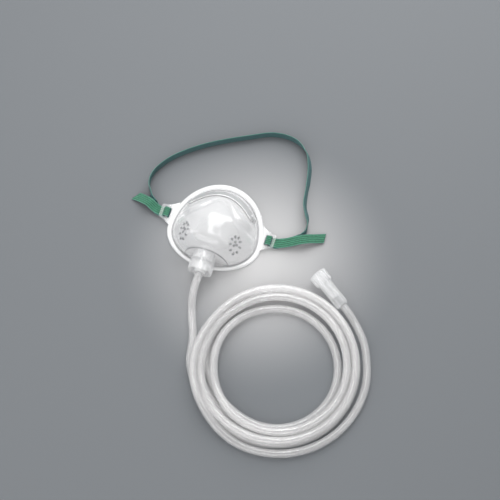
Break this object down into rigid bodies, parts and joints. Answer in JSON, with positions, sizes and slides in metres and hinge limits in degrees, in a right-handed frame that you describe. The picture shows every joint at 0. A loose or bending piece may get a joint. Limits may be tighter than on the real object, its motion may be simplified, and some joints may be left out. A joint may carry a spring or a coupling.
{
  "type": "oxygen mask with tubing",
  "caption": "Child's clear oxygen mask with nose clip, vent holes, green elastic head strap, swivel connector and coiled supply tubing ending in a push-on connector.",
  "frame": {"origin": "on the plane of the mask's rim, midway between the rim's nose end and the end of the swivel connector", "axes": "+Z points out of the face, away from the table that the rim lies on; +Y points to the bridge of the nose, +X to the right as seen from above the mask's outside"},
  "size_m": [0.2298, 0.259, 0.038],
  "materials": {
    "clear_vinyl": "smooth, clear with a milky edge",
    "milky_vinyl": "smooth, milky",
    "clear_plastic": "smooth, clear",
    "clear_tubing": "smooth, clear",
    "aluminium_strip": "satin",
    "green_elastic": "woven, ribbed lengthwise"
  },
  "bodies": {
    "mask": {"mask_shell": "clear_vinyl", "nose_clip": "aluminium_strip", "clip_stud_left": "milky_vinyl", "clip_stud_right": "milky_vinyl", "tube_sleeve": "milky_vinyl", "tube_lead": "clear_tubing", "tube_coil": "clear_tubing", "tube_tail": "clear_tubing", "supply_connector": "clear_vinyl", "head_strap": "green_elastic"},
    "swivel": {"swivel_collar": "clear_plastic"}
  },
  "joints": [
    {"name": "swivel_turn", "type": "hinge", "parent": "mask", "child": "swivel", "pos_m": [0, -0.0332, 0.015], "axis": [0, -1, 0], "continuous": true}
  ]
}
